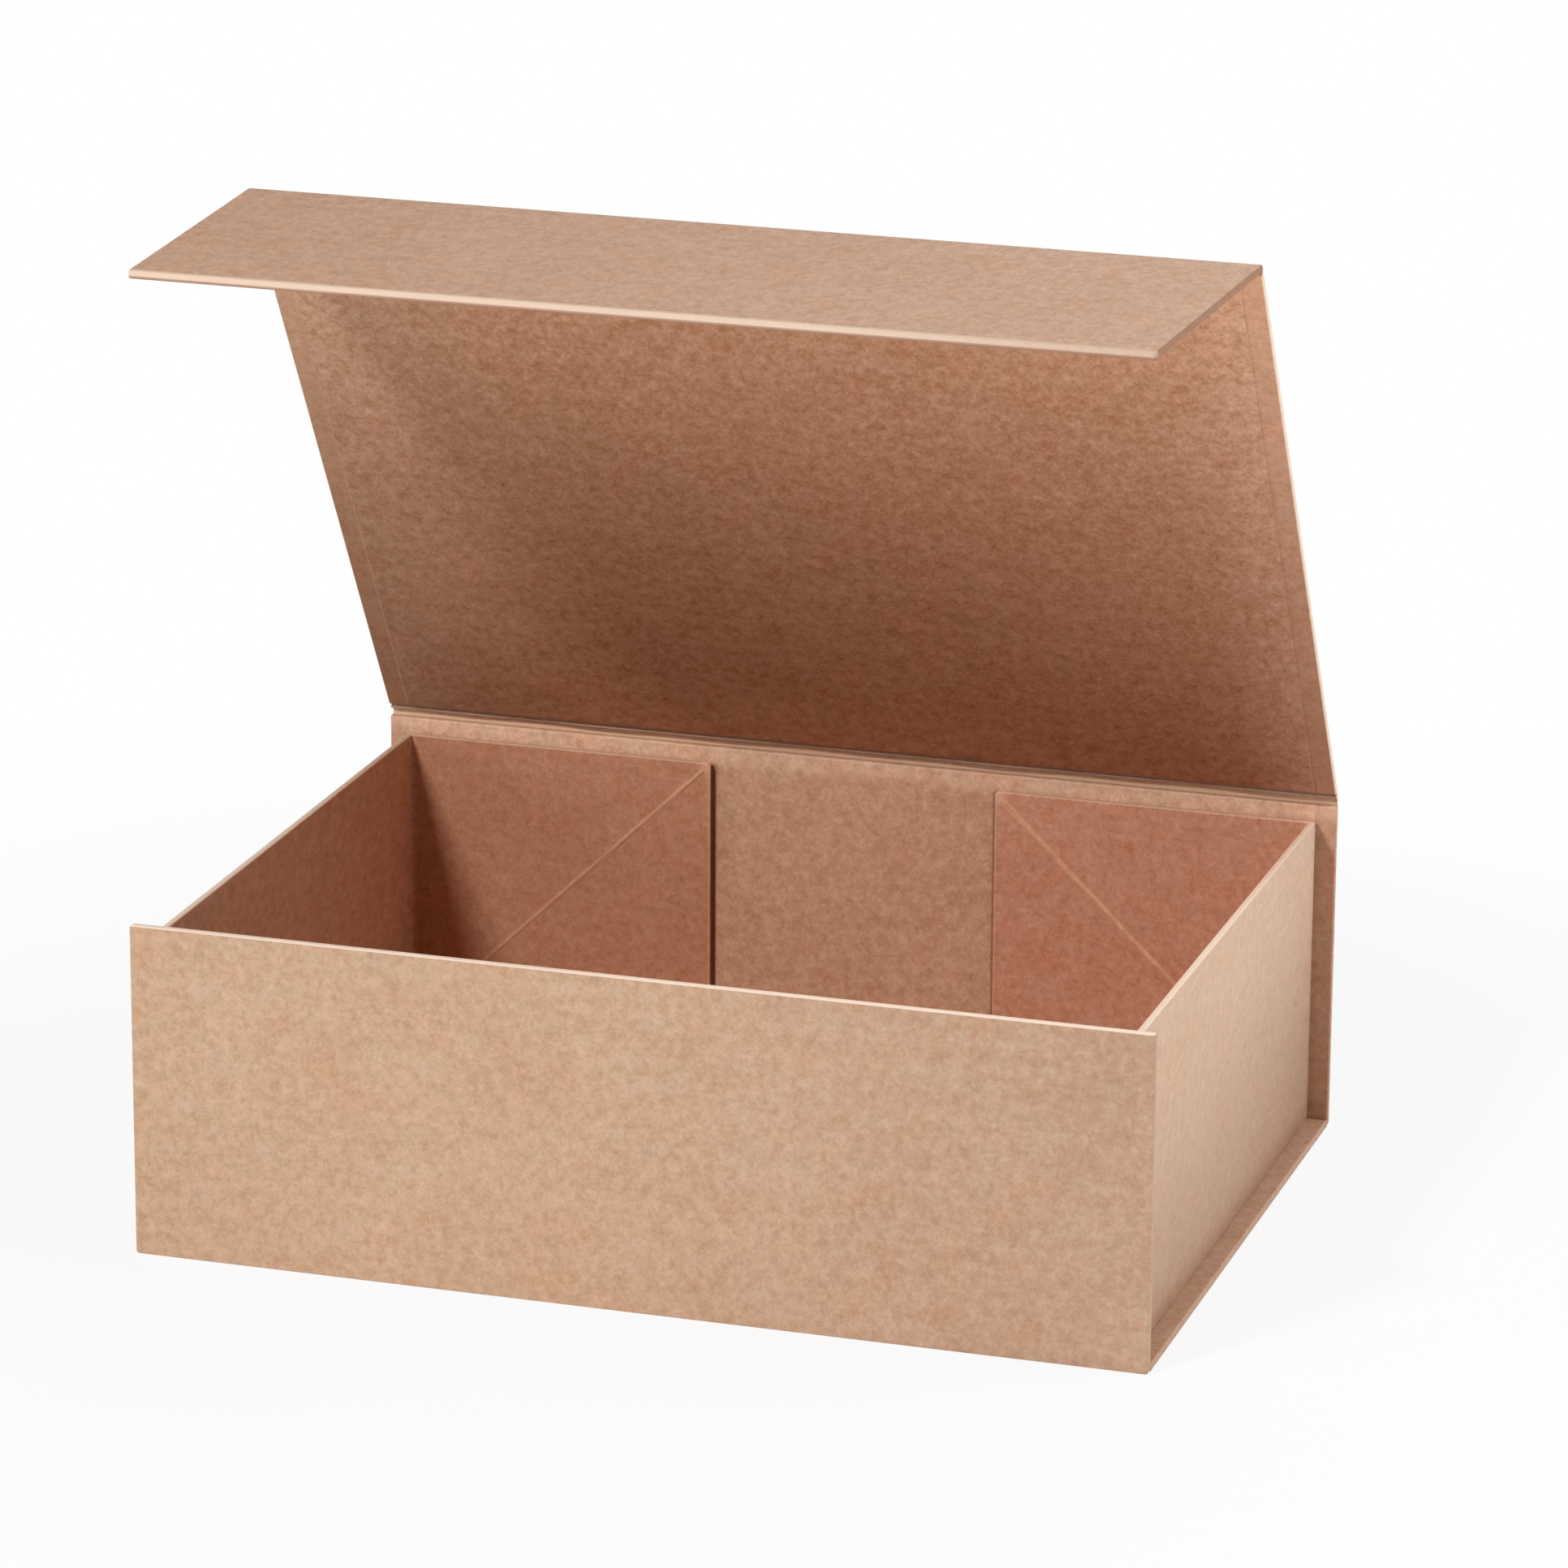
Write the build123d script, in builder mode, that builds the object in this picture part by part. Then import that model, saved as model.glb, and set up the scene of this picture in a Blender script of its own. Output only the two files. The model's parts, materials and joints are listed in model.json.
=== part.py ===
from build123d import *
import math
import os

os.makedirs("parts", exist_ok=True)

# Flat-pack magnetic gift box of kraft-covered greyboard, standing open with its lid half raised.
# Millimetres, +Z up. The origin is the middle of the base's underside, and the front faces -Y.
# The case is a row of panels: front, base, back, lid and closing flap, hinged to each other in paper.

# Case panels
panel_width = 330.0
panel_board = 2.6
tray_depth = 236.0
front_height = 109.0
hinge_rise = 2.0
base_gap = 0.3
corner_round = 1.2
edge_round = 0.5

# Lid and closing flap, at the angles at which the box stands open
lid_lean_angle = 31.3
flap_droop_angle = 1.0
flap_clearance = 2.4
flap_foot = 0.7
flap_taper = 4.2

# Paper hinges between back, lid and flap
hinge_gap = 6.2
hinge_paper = 0.5
hinge_bend = 3.0
fold_gap = 1.2
fold_paper = 0.4
fold_bend = 0.6
strip_inset = 0.3

# Kraft liner that covers the turned-in edges on the inside of the case
liner_sheet = 0.3
liner_margin = 7.0
liner_step = 0.8

# Side walls with their corner wings
wall_board = 2.2
side_overhang = 6.5
wall_drop = 3.1
wing_width = 107.0
wing_corner = 2.0
wall_fold = 1.6
wall_edge = 0.45
ridge_width = 1.8
ridge_height = 0.35
ridge_inset = 4.0

# Self-adhesive strips behind the wings
tape_sheet = 0.3
tape_length = 55.0
tape_width = 10.0
tape_inset = 12.0

# Magnets in the flap and steel keepers in the front panel
magnet_diameter = 12.0
magnet_thickness = 1.5
keeper_diameter = 14.0
keeper_thickness = 1.0
pocket_clearance = 0.1
magnet_spacing = 170.0
magnet_inset = 18.0


def panel_plane(y, z, run):
    """Plane on a panel's outer face: local y runs along the case, local z goes into the board."""
    inward = math.radians(run + 90)
    return Plane(origin=(0, y, z), x_dir=(1, 0, 0), z_dir=(0, math.cos(inward), math.sin(inward)))


def outline(panel, plane, depth, low=-math.inf, high=math.inf):
    """Edges of a panel's face at this depth whose middles lie between two distances along the case."""
    chosen = []
    for edge in panel.part.edges():
        middle = plane.to_local_coords(edge.center())
        if abs(middle.Z - depth) < edge_round / 2 and low < middle.Y < high:
            chosen.append(edge)
    return chosen


def board_corners(panel, plane, low=-math.inf, high=math.inf):
    """Edges that run through the board at a panel's corners, between two distances along the case."""
    chosen = []
    for edge in panel.part.edges().filter_by(Axis(plane.origin, plane.z_dir)):
        if low < plane.to_local_coords(edge.center()).Y < high:
            chosen.append(edge)
    return chosen


# Angles of the panels' runs, as seen from the right side, counted from +Y towards +Z
front_run = -90.0
base_run = 0.0
back_run = 90.0
lid_run = back_run + lid_lean_angle
flap_run = 2 * back_run + flap_droop_angle

# Front panel, which stands in front of the base and holds the keepers behind its inner face
front_plane = panel_plane(-tray_depth / 2, front_height, front_run)
closed_height = front_height + panel_board + liner_sheet
flap_reach = closed_height - flap_foot
keeper_drop = front_height - flap_foot - magnet_inset
keeper_pocket = keeper_thickness + pocket_clearance
with BuildPart() as front_panel:
    with BuildSketch(front_plane):
        Rectangle(panel_width, front_height, align=(Align.CENTER, Align.MIN))
    extrude(amount=panel_board)
    fillet(board_corners(front_panel, front_plane), corner_round)
    for depth in (0, panel_board):
        fillet(outline(front_panel, front_plane, depth), edge_round)
    with BuildSketch(front_plane.offset(panel_board)):
        with Locations((-magnet_spacing / 2, keeper_drop), (magnet_spacing / 2, keeper_drop)):
            Circle(keeper_diameter / 2 + pocket_clearance)
    extrude(amount=-keeper_pocket, mode=Mode.SUBTRACT)
front_panel.part.label = "front_panel"
export_step(front_panel.part, "parts/front_panel.step")

# Base panel, between the front and back panels
base_plane = panel_plane(-tray_depth / 2 + panel_board + base_gap, 0, base_run)
base_length = tray_depth - 2 * (panel_board + base_gap)
with BuildPart() as base_panel:
    with BuildSketch(base_plane):
        Rectangle(panel_width, base_length, align=(Align.CENTER, Align.MIN))
    extrude(amount=panel_board)
    for depth in (0, panel_board):
        fillet(outline(base_panel, base_plane, depth), edge_round)
base_panel.part.label = "base_panel"
export_step(base_panel.part, "parts/base_panel.step")

# Back panel, whose outer face runs on into the lid's paper hinge
back_plane = panel_plane(tray_depth / 2, 0, back_run)
back_height = front_height + hinge_rise
with BuildPart() as back_panel:
    with BuildSketch(back_plane):
        Rectangle(panel_width, back_height, align=(Align.CENTER, Align.MIN))
    extrude(amount=panel_board)
    fillet(board_corners(back_panel, back_plane, high=back_height / 2), corner_round)
    fillet(outline(back_panel, back_plane, panel_board), edge_round)
    fillet(outline(back_panel, back_plane, 0, high=back_height - edge_round), edge_round)
back_panel.part.label = "back_panel"
export_step(back_panel.part, "parts/back_panel.step")

# Lid panel, which starts above the hinge paper and ends in a mitre at the flap's fold
hinge_y = tray_depth / 2 - hinge_paper / 2
hinge_z = back_height + hinge_gap / 2
hinge_plane = panel_plane(hinge_y, hinge_z, lid_run)
lid_plane = hinge_plane.offset(-hinge_paper / 2)
lid_reach = tray_depth + flap_clearance + panel_board + liner_sheet - (hinge_paper + fold_paper) / 2
lid_start = hinge_gap / 2
lid_end = lid_reach - fold_gap / 2
mitre = panel_board - fold_paper
with BuildPart() as lid_panel:
    with BuildSketch(lid_plane):
        with Locations((0, lid_start)):
            Rectangle(panel_width, lid_end - lid_start, align=(Align.CENTER, Align.MIN))
    extrude(amount=panel_board)
    chamfer(outline(lid_panel, lid_plane, panel_board, low=lid_end - edge_round), mitre)
    fillet(outline(lid_panel, lid_plane, panel_board, high=lid_end - mitre - edge_round), edge_round)
    fillet(outline(lid_panel, lid_plane, 0, lid_start + edge_round, lid_end - edge_round), edge_round)
lid_panel.part.label = "lid_panel"
export_step(lid_panel.part, "parts/lid_panel.step")

# Closing flap, mitred at its fold, a little narrower at its free edge, with pockets for its magnets
fold_point = lid_plane.from_local_coords((0, lid_reach, fold_paper / 2))
fold_plane = panel_plane(fold_point.Y, fold_point.Z, flap_run)
flap_plane = fold_plane.offset(-fold_paper / 2)
flap_start = fold_gap / 2
half_width = panel_width / 2
magnet_reach = flap_reach - magnet_inset
magnet_pocket = magnet_thickness + pocket_clearance
with BuildPart() as closing_flap:
    with BuildSketch(flap_plane):
        Polygon(
            (-half_width, flap_start),
            (half_width, flap_start),
            (half_width - flap_taper, flap_reach),
            (-half_width + flap_taper, flap_reach),
            align=None,
        )
    extrude(amount=panel_board)
    chamfer(outline(closing_flap, flap_plane, panel_board, high=flap_start + edge_round), mitre)
    fillet(board_corners(closing_flap, flap_plane, low=flap_reach / 2), corner_round)
    fillet(outline(closing_flap, flap_plane, panel_board, low=flap_start + mitre + edge_round), edge_round)
    fillet(outline(closing_flap, flap_plane, 0, low=flap_start + edge_round), edge_round)
    with BuildSketch(flap_plane.offset(panel_board)):
        with Locations((-magnet_spacing / 2, magnet_reach), (magnet_spacing / 2, magnet_reach)):
            Circle(magnet_diameter / 2 + pocket_clearance)
    extrude(amount=-magnet_pocket, mode=Mode.SUBTRACT)
closing_flap.part.label = "closing_flap"
export_step(closing_flap.part, "parts/closing_flap.step")

# Paper hinge of the lid, bent between the back panel's top edge and the lid's lower edge
hinge_end = hinge_plane.from_local_coords((0, lid_start, 0))
with BuildPart() as lid_hinge_strip:
    with BuildSketch(Plane.YZ):
        with BuildLine():
            FilletPolyline(
                (hinge_y, back_height),
                (hinge_y, hinge_z),
                (hinge_end.Y, hinge_end.Z),
                radius=hinge_bend,
            )
        trace(line_width=hinge_paper)
    extrude(amount=half_width - strip_inset, both=True)
lid_hinge_strip.part.label = "lid_hinge_strip"
export_step(lid_hinge_strip.part, "parts/lid_hinge_strip.step")

# Paper fold between lid and flap
fold_start = hinge_plane.from_local_coords((0, lid_end, fold_paper / 2 - hinge_paper / 2))
fold_end = fold_plane.from_local_coords((0, flap_start, 0))
with BuildPart() as flap_hinge_strip:
    with BuildSketch(Plane.YZ):
        with BuildLine():
            FilletPolyline(
                (fold_start.Y, fold_start.Z),
                (fold_point.Y, fold_point.Z),
                (fold_end.Y, fold_end.Z),
                radius=fold_bend,
            )
        trace(line_width=fold_paper)
    extrude(amount=half_width - strip_inset, both=True)
flap_hinge_strip.part.label = "flap_hinge_strip"
export_step(flap_hinge_strip.part, "parts/flap_hinge_strip.step")

# Tray liner, one sheet folded over the inner faces of front, base and back
liner_half = half_width - liner_margin
inner_y = tray_depth / 2 - panel_board
liner_y = inner_y - liner_sheet
liner_z = panel_board + liner_sheet
liner_top = front_height - liner_margin
back_top = back_height - liner_step
with BuildPart() as tray_liner:
    with BuildSketch(Plane.YZ):
        with BuildLine():
            Polyline(
                (-inner_y, liner_top),
                (-inner_y, panel_board),
                (inner_y, panel_board),
                (inner_y, back_top),
                (liner_y, back_top),
                (liner_y, liner_z),
                (-liner_y, liner_z),
                (-liner_y, liner_top),
                close=True,
            )
        make_face()
    extrude(amount=liner_half, both=True)
tray_liner.part.label = "tray_liner"
export_step(tray_liner.part, "parts/tray_liner.step")

# Lid liner and flap liner, flat sheets on the inner faces
lid_liner_start = lid_start + liner_step
lid_liner_end = lid_end - mitre - liner_step
with BuildPart() as lid_liner:
    with BuildSketch(lid_plane.offset(panel_board)):
        with Locations((0, lid_liner_start)):
            Rectangle(2 * liner_half, lid_liner_end - lid_liner_start, align=(Align.CENTER, Align.MIN))
    extrude(amount=liner_sheet)
lid_liner.part.label = "lid_liner"
export_step(lid_liner.part, "parts/lid_liner.step")

flap_liner_start = flap_start + mitre + liner_step
flap_liner_end = flap_reach - liner_margin
flap_liner_half = liner_half - flap_taper
with BuildPart() as flap_liner:
    with BuildSketch(flap_plane.offset(panel_board)):
        Polygon(
            (-liner_half, flap_liner_start),
            (liner_half, flap_liner_start),
            (flap_liner_half, flap_liner_end),
            (-flap_liner_half, flap_liner_end),
            align=None,
        )
    extrude(amount=liner_sheet)
flap_liner.part.label = "flap_liner"
export_step(flap_liner.part, "parts/flap_liner.step")

# Side walls, each one board folded at its corners into two wings that lie on the front and back
# panels, with a diagonal crease ridge on each wing where it folds when the box is laid flat
wall_x = half_width - side_overhang
wall_inner_x = wall_x - wall_board
wing_end_x = wall_inner_x - wing_width
wing_y = liner_y - tape_sheet
wing_inner_y = wing_y - wall_board
wall_top = front_height - wall_drop
wing_height = wall_top - liner_z
crease_slope = math.atan2(wing_height, wing_width)
crease_length = math.hypot(wing_height, wing_width) - 2 * ridge_inset
tape_x = wall_inner_x - tape_inset - tape_length / 2
tape_z = wall_top - wing_corner - tape_width / 2
for side, hand in (("left", -1), ("right", 1)):
    with BuildPart() as side_wall:
        with BuildSketch(Plane.XY.offset(liner_z)):
            with BuildLine():
                Polyline(
                    (hand * wing_end_x, wing_y),
                    (hand * wall_x, wing_y),
                    (hand * wall_x, -wing_y),
                    (hand * wing_end_x, -wing_y),
                    (hand * wing_end_x, -wing_inner_y),
                    (hand * wall_inner_x, -wing_inner_y),
                    (hand * wall_inner_x, wing_inner_y),
                    (hand * wing_end_x, wing_inner_y),
                    close=True,
                )
            make_face()
        extrude(amount=wing_height)
        upright = side_wall.edges().filter_by(Axis.Z)
        fillet([e for e in upright if abs(abs(e.center().X) - wall_x) < wall_edge], wall_fold)
        wing_tips = side_wall.edges().filter_by(Axis.Y).filter_by_position(
            Axis.Z, wall_top - wall_edge, wall_top + wall_edge)
        fillet([e for e in wing_tips if abs(e.center().X) < wing_end_x + wall_edge], wing_corner)
        rim = []
        for edge in side_wall.edges():
            middle = edge.center()
            on_wing_end = abs(middle.X) < wing_end_x + wing_corner and middle.Z > liner_z + wall_edge
            crossing = abs(edge.tangent_at(0.5).Y) > 0.9 and abs(middle.X) < wall_inner_x - wall_edge
            if (on_wing_end or middle.Z > wall_top - wall_edge) and not crossing:
                rim.append(edge)
        fillet(rim, wall_edge)
        for end in (-1, 1):
            ridge_start = (
                hand * (wall_inner_x - ridge_inset * math.cos(crease_slope)),
                end * wing_inner_y,
                liner_z + ridge_inset * math.sin(crease_slope),
            )
            along = (-hand * math.cos(crease_slope), 0, math.sin(crease_slope))
            with BuildSketch(Plane(origin=ridge_start, x_dir=(0, -end, 0), z_dir=along)):
                Polygon((0, -ridge_width / 2), (ridge_height, 0), (0, ridge_width / 2), align=None)
            extrude(amount=crease_length)
    side_wall.part.label = side + "_side_wall"
    export_step(side_wall.part, "parts/" + side + "_side_wall.step")

    # Strips of tape between this side's wings and the liner, along the wings' top edges
    for place, end in (("front", -1), ("back", 1)):
        tape_middle = (hand * tape_x, end * wing_y, tape_z)
        with BuildPart() as wing_tape:
            with BuildSketch(Plane(origin=tape_middle, x_dir=(1, 0, 0), z_dir=(0, end, 0))):
                Rectangle(tape_length, tape_width)
            extrude(amount=tape_sheet)
        tape_name = "wing_tape_" + place + "_" + side
        wing_tape.part.label = tape_name
        export_step(wing_tape.part, "parts/" + tape_name + ".step")

    # Magnet seated at the bottom of its pocket in the flap
    with BuildPart() as flap_magnet:
        with BuildSketch(flap_plane.offset(panel_board - magnet_pocket)):
            with Locations((hand * magnet_spacing / 2, magnet_reach)):
                Circle(magnet_diameter / 2)
        extrude(amount=magnet_thickness)
    flap_magnet.part.label = "flap_magnet_" + side
    export_step(flap_magnet.part, "parts/flap_magnet_" + side + ".step")

    # Steel keeper seated at the bottom of its pocket in the front panel
    with BuildPart() as front_keeper:
        with BuildSketch(front_plane.offset(panel_board - keeper_pocket)):
            with Locations((hand * magnet_spacing / 2, keeper_drop)):
                Circle(keeper_diameter / 2)
        extrude(amount=keeper_thickness)
    front_keeper.part.label = "front_keeper_" + side
    export_step(front_keeper.part, "parts/front_keeper_" + side + ".step")
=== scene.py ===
import json
import math
import bmesh
import bpy
from mathutils import Matrix, Vector


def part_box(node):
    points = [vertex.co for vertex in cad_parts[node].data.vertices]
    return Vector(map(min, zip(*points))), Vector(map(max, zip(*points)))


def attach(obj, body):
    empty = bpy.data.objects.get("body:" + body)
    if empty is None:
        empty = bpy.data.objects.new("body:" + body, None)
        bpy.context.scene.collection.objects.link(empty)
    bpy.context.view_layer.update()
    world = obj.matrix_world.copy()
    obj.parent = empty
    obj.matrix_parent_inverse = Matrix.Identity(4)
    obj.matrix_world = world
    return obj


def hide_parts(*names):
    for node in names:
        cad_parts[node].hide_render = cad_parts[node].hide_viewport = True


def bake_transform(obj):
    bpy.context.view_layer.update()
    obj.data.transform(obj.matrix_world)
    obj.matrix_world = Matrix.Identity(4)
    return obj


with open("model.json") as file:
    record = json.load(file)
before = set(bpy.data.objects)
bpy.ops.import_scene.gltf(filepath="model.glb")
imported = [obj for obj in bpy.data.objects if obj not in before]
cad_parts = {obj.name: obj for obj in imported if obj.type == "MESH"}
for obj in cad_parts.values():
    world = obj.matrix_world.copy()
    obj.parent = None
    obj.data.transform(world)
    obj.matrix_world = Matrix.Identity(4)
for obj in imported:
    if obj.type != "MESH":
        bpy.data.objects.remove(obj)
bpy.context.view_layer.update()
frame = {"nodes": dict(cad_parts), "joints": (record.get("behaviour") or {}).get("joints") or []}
nodes = frame["nodes"]


# Front panel
# The front wall of the tray is a sheet of greyboard wrapped in brown kraft paper. It stands on the
# table in front of the base, and the paper is paler along the board's edges.
class Finish:
    """The nodes of a material, or of the room, which all lead to one shader at their end."""

    def __init__(self, owner, shader="Principled BSDF"):
        owner.use_nodes = True
        self.owner = owner
        self.tree = owner.node_tree
        self.shader = self.tree.nodes[shader]

    def node(self, kind, settings=None, sockets=None, out=0):
        """Adds one node, sets it up, feeds its sockets and returns one of its outputs."""
        made = self.tree.nodes.new(kind)
        for key, value in (settings or {}).items():
            setattr(made, key, value)
        for key, value in (sockets or {}).items():
            self.feed(made.inputs[key], value)
        return Shade(self, made.outputs[out])

    def feed(self, socket, value):
        """Links a shade to a socket, or sets the socket to a plain number or colour."""
        if isinstance(value, Shade):
            self.tree.links.new(value.socket, socket)
        else:
            socket.default_value = value

    def show(self, values):
        """Gives the shader at the end its values."""
        for key, value in values.items():
            self.feed(self.shader.inputs[key], value)

    def mix(self, share, first, second, blend="MIX"):
        """Colour that goes from first to second as share goes from 0 to 1."""
        return self.node("ShaderNodeMix", {"data_type": "RGBA", "blend_type": blend},
                         {0: share, 6: first, 7: second}, out=2)

    def noise(self, place, waves, detail=2.0, roughness=0.5, distortion=0.0):
        """Soft random value around a half, with this many waves to the metre."""
        return self.node("ShaderNodeTexNoise", None,
                         {"Vector": place, "Scale": waves, "Detail": detail, "Roughness": roughness,
                          "Distortion": distortion})

    def step(self, value, low, high):
        """Smooth rise from 0 to 1 while a value goes from low to high."""
        return self.node("ShaderNodeMapRange", {"interpolation_type": "SMOOTHSTEP"},
                         {"Value": value, "From Min": low, "From Max": high})


class Shade:
    """A value in a material. Arithmetic on it adds the Math nodes that work the result out."""

    def __init__(self, finish, socket):
        self.finish = finish
        self.socket = socket

    def other(self, name):
        """Another output of the node that this value comes from."""
        return Shade(self.finish, self.socket.node.outputs[name])

    def math(self, operation, first, second=0.0):
        return self.finish.node("ShaderNodeMath", {"operation": operation}, {0: first, 1: second})

    def __add__(self, other):
        return self.math("ADD", self, other)

    def __radd__(self, other):
        return self.math("ADD", other, self)

    def __sub__(self, other):
        return self.math("SUBTRACT", self, other)

    def __rsub__(self, other):
        return self.math("SUBTRACT", other, self)

    def __mul__(self, other):
        return self.math("MULTIPLY", self, other)

    def __rmul__(self, other):
        return self.math("MULTIPLY", other, self)

    def __abs__(self):
        return self.math("ABSOLUTE", self)

    def most(self, other):
        return self.math("MAXIMUM", self, other)


def tint(red, green, blue):
    """Colour from the 0 to 255 values that a screen shows."""
    channels = []
    for value in (red, green, blue):
        share = value / 255
        channels.append(share / 12.92 if share <= 0.04045 else ((share + 0.055) / 1.055) ** 2.4)
    return (*channels, 1.0)


def cast(colour, red, green, blue):
    """A colour with its channels made stronger or weaker."""
    return (colour[0] * red, colour[1] * green, colour[2] * blue, 1.0)


class Kraft(Finish):
    """Brown kraft paper: matted pulp in small patches of redder and greyer brown, with stray hairs."""

    # How fine each part of the pattern is, in waves or cells to the metre
    pulp_waves = 280.0
    streak_waves = 240.0
    cloud_waves = 24.0
    patch_waves = 75.0
    hair_waves = 120.0
    gap_waves = 140.0
    speck_cells = 90.0

    # How the pattern is turned away from the box's faces, and how far its streaks are drawn out
    askew_axis = (1.0, 2.0, 3.0)
    askew_turn = 0.7
    streak_draw = 0.12

    # How strong each part is, and how far the pulp swings from dark to light
    pulp_share = 0.84
    streak_share = 0.16
    cloud_share = 0.10
    rosy_share = 0.52
    ashen_share = 0.40
    hair_share = 0.40
    hair_width = 0.011
    speck_share = 0.6
    swing_depth = 0.46
    swing_power = 0.62

    # Colours of patches, hairs and specks, against the paper's own
    rosy_cast = (1.03, 0.86, 0.77)
    ashen_cast = (0.98, 1.02, 1.05)
    pale_hair_cast = (1.30, 1.32, 1.34)
    dark_hair_cast = (0.66, 0.58, 0.54)
    speck_cast = (0.42, 0.36, 0.33)

    # Dull surface, with a fine relief given in metres
    roughness = 0.72
    roughness_swing = 0.12
    specular = 0.18
    hair_relief = 0.4
    relief_strength = 0.5
    relief_height = 0.00008

    def __init__(self, name, grain=(1.0, 1.0, 1.0)):
        super().__init__(bpy.data.materials.new(name))
        self.spot = self.node("ShaderNodeTexCoord", out="Object")
        self.x = self.node("ShaderNodeSeparateXYZ", None, {0: self.spot})
        self.y = self.x.other("Y")
        self.z = self.x.other("Z")
        self.place = self.spread(*grain)
        self.fibres = self.spread(self.streak_draw * grain[0], grain[1], grain[2])

    def spread(self, *grain):
        """Place for a pattern that is drawn out where grain is small, and lies askew to every face."""
        drawn = self.node("ShaderNodeVectorMath", {"operation": "MULTIPLY"}, {0: self.spot, 1: grain})
        return self.node("ShaderNodeVectorRotate", None,
                         {"Vector": drawn, "Axis": self.askew_axis, "Angle": self.askew_turn})

    def lay(self, colour, marking, blush):
        """Lays down the paper in a colour, with its pulp and its patches more or less marked."""
        pulp = self.noise(self.place, self.pulp_waves, detail=3.0, roughness=0.92, distortion=0.1)
        streaks = self.noise(self.fibres, self.streak_waves, detail=3.0, roughness=0.6)
        clouds = self.noise(self.place, self.cloud_waves)
        matting = self.pulp_share * (pulp - 0.5) + self.streak_share * (streaks - 0.5)
        tone = 0.5 + marking * matting + self.cloud_share * (clouds - 0.5)
        paper = self.pulp_colour(colour, tone)

        # Patches of redder and greyer brown
        warmth = self.noise(self.place, self.patch_waves, detail=3.0, roughness=0.75)
        rosy = self.pulp_colour(cast(colour, *self.rosy_cast), tone)
        ashen = self.pulp_colour(cast(colour, *self.ashen_cast), tone)
        paper = self.mix(self.rosy_share * blush * self.step(warmth, 0.48, 0.70), paper, rosy)
        paper = self.mix(self.ashen_share * blush * (1 - self.step(warmth, 0.32, 0.50)), paper, ashen)

        # Stray hairs, pale and dark, broken up into short curved lengths
        wander = self.noise(self.place, self.hair_waves, detail=1.0, distortion=1.5)
        hair = 1 - self.step(abs(wander - 0.5), 0.0, self.hair_width)
        gaps = self.noise(self.place, self.gap_waves, detail=1.0)
        pale_hair = self.hair_share * hair * self.step(gaps, 0.60, 0.70)
        dark_hair = self.hair_share * hair * (1 - self.step(gaps, 0.30, 0.38))
        paper = self.mix(pale_hair, paper, cast(colour, *self.pale_hair_cast))
        paper = self.mix(dark_hair, paper, cast(colour, *self.dark_hair_cast))

        # Dark specks of bark, few and small
        cells = self.node("ShaderNodeTexVoronoi", None,
                          {"Vector": self.place, "Scale": self.speck_cells})
        chance = self.node("ShaderNodeSeparateColor", None, {0: cells.other("Color")})
        speck = (1 - self.step(cells, 0.03, 0.06)) * self.step(chance, 0.95, 0.98)
        self.paper = self.mix(self.speck_share * speck, paper, cast(colour, *self.speck_cast))
        self.relief = pulp + self.hair_relief * hair

    def pulp_colour(self, colour, tone):
        """The colour from dark to light as tone goes from 0 to 1, and redder where it is dark."""
        swings = [self.swing_depth * (colour[0] / channel) ** self.swing_power for channel in colour[:3]]
        dark = cast(colour, *(1 - swing for swing in swings))
        light = cast(colour, *(1 + swing for swing in swings))
        return self.mix(tone, dark, light)

    def paint_over(self, mask, colour):
        """Lays a paler or darker colour over the paper where mask is 1, for pale edges and for painted
        light and shade.
        """
        self.paper = self.mix(mask, self.paper, colour)

    def glazed(self, share, first, second, mask=1.0):
        """Tones the paper by a tint that goes from first to second, where mask is 1."""
        self.paper = self.mix(mask, self.paper, self.mix(share, first, second), "MULTIPLY")

    def done(self):
        """Joins the paper to the shader and returns the material."""
        bump = self.node("ShaderNodeBump", None,
                         {"Strength": self.relief_strength, "Distance": self.relief_height,
                          "Height": self.relief})
        self.show({"Base Color": self.paper,
                   "Roughness": self.roughness + self.roughness_swing * (self.relief - 0.5),
                   "Specular IOR Level": self.specular,
                   "Normal": bump})
        return self.owner


def wear(node, material):
    """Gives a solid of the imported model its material."""
    nodes[node].data.materials.clear()
    nodes[node].data.materials.append(material)


MM = 0.001
untoned = (1, 1, 1, 1)
kraft_brown = tint(199, 165, 138)
edge_cream = tint(250, 230, 210)
edge_depth = 0.55 * MM
outside = {"marking": 1.0, "blush": 0.9}
front_left_painted_light = (1.03, 1.02, 1.00, 1)
front_right_painted_shade = (0.91, 0.88, 0.88, 1)
front_end_pale = 0.12

front_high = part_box("front_panel")[1]
half_width = front_high.x
front_paper = Kraft("front_kraft")
front_paper.lay(kraft_brown, **outside)
# Painted light at the left of the front and painted shade at its right, as the key light comes from the
# left.
front_paper.glazed(front_paper.step(front_paper.x, -0.3 * half_width, half_width),
                   front_left_painted_light, front_right_painted_shade)
top_edge = front_paper.step(front_paper.z, front_high.z - edge_depth, front_high.z - 0.2 * edge_depth)
end_edge = front_paper.step(abs(front_paper.x), half_width - edge_depth, half_width - 0.2 * edge_depth)
front_paper.paint_over(top_edge.most(front_end_pale * end_edge), edge_cream)
wear("front_panel", front_paper.done())


# Base panel
# The floor of the tray is wrapped in the same sheet of kraft paper as the front and back panels.
# Only its two ends show, as ledges that stand out past the side walls.
base_brown = tint(189, 150, 125)
base_end_pale = 0.15
base_paper = Kraft("base_kraft")
base_paper.lay(base_brown, **outside)
base_end = base_paper.step(abs(base_paper.x), half_width - edge_depth, half_width)
base_paper.paint_over(base_end_pale * base_end, edge_cream)
wear("base_panel", base_paper.done())
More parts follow.
